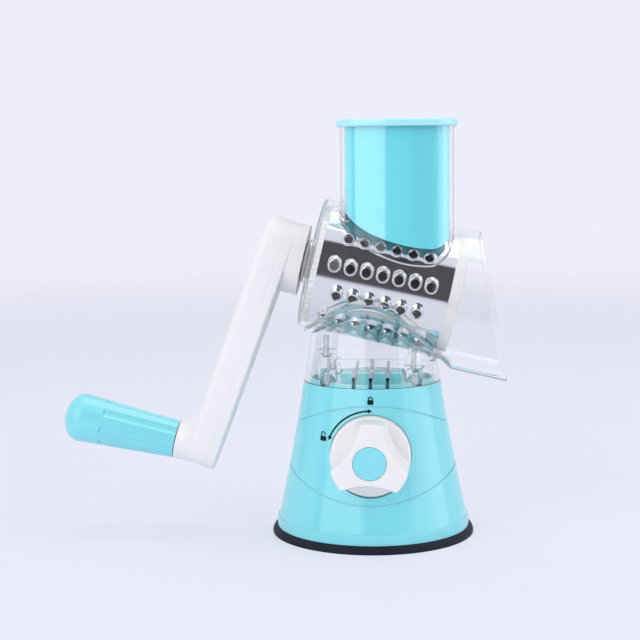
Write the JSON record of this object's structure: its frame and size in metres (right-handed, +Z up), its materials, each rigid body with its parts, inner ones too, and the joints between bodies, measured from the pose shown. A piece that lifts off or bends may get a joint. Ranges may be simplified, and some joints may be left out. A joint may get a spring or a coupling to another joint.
{
  "type": "rotary shredder",
  "caption": "Hand-cranked rotary shredder on a suction base: clear barrel with feed chute and pusher, perforated steel drum, crank with turning grip, locking knob.",
  "frame": {"origin": "on the table, under the centre of the round suction foot", "axes": "+Z up; +X towards the discharge mouth, with the crank at -X; -Y towards the knob"},
  "size_m": [0.2636, 0.1273, 0.2437],
  "materials": {
    "turquoise_plastic": "moulded, glossy",
    "pusher_plastic": "moulded, slightly translucent",
    "white_plastic": "moulded, glossy",
    "clear_plastic": "clear, polished",
    "drum_steel": "polished stainless sheet",
    "steel": "plain",
    "foot_rubber": "soft, satin"
  },
  "bodies": {
    "housing": {"suction_cup": "foot_rubber", "cup_bracket": "white_plastic", "bracket_screws": "steel", "base_shell": "turquoise_plastic", "clear_stand": "clear_plastic", "stand_screws": "steel", "barrel_housing": "clear_plastic", "barrel_screws": "steel", "shaft_bush": "white_plastic"},
    "knob": {"knob": "white_plastic", "knob_cap": "turquoise_plastic", "knob_screw": "steel", "knob_shaft": "white_plastic"},
    "stem": {"suction_stem": "steel", "lift_yoke": "white_plastic", "yoke_screw": "steel"},
    "crank": {"drive_shaft": "white_plastic", "shaft_clip": "steel", "crank_arm_inner": "white_plastic", "crank_arm_outer": "white_plastic", "arm_screws": "steel", "grip_pin": "steel"},
    "grip": {"grip": "turquoise_plastic"},
    "drum": {"drum_shell": "drum_steel", "drum_front_ring": "white_plastic", "drum_rear_hub": "white_plastic"},
    "pusher": {"pusher": "pusher_plastic"}
  },
  "joints": [
    {"name": "crank_turn", "type": "hinge", "parent": "housing", "child": "crank", "pos_m": [0, 0, 0.153], "axis": [0.9744, 0, -0.225], "continuous": true},
    {"name": "grip_spin", "type": "hinge", "parent": "crank", "child": "grip", "pos_m": [-0.14448, 0, 0.06063], "axis": [0.9744, 0, -0.225], "continuous": true},
    {"name": "drum_slide", "type": "slide", "parent": "crank", "child": "drum", "axis": [0.9744, 0, -0.225], "range_m": [0, 0.125]},
    {"name": "knob_turn", "type": "hinge", "parent": "housing", "child": "knob", "pos_m": [0, -0.05, 0.0536], "axis": [0, -1, 0], "range_deg": [0, 70]},
    {"name": "stem_slide", "type": "slide", "parent": "housing", "child": "stem", "axis": [0, 0, -1], "range_m": [0, 0.0046], "deforming": ["suction_cup"]},
    {"name": "pusher_lift", "type": "slide", "parent": "housing", "child": "pusher", "axis": [0, 0, 1], "range_m": [0, 0.08]}
  ],
  "couplings": [
    {"joint": "stem_slide", "follows": "knob_turn", "m_per_rad": 0.0037559}
  ]
}
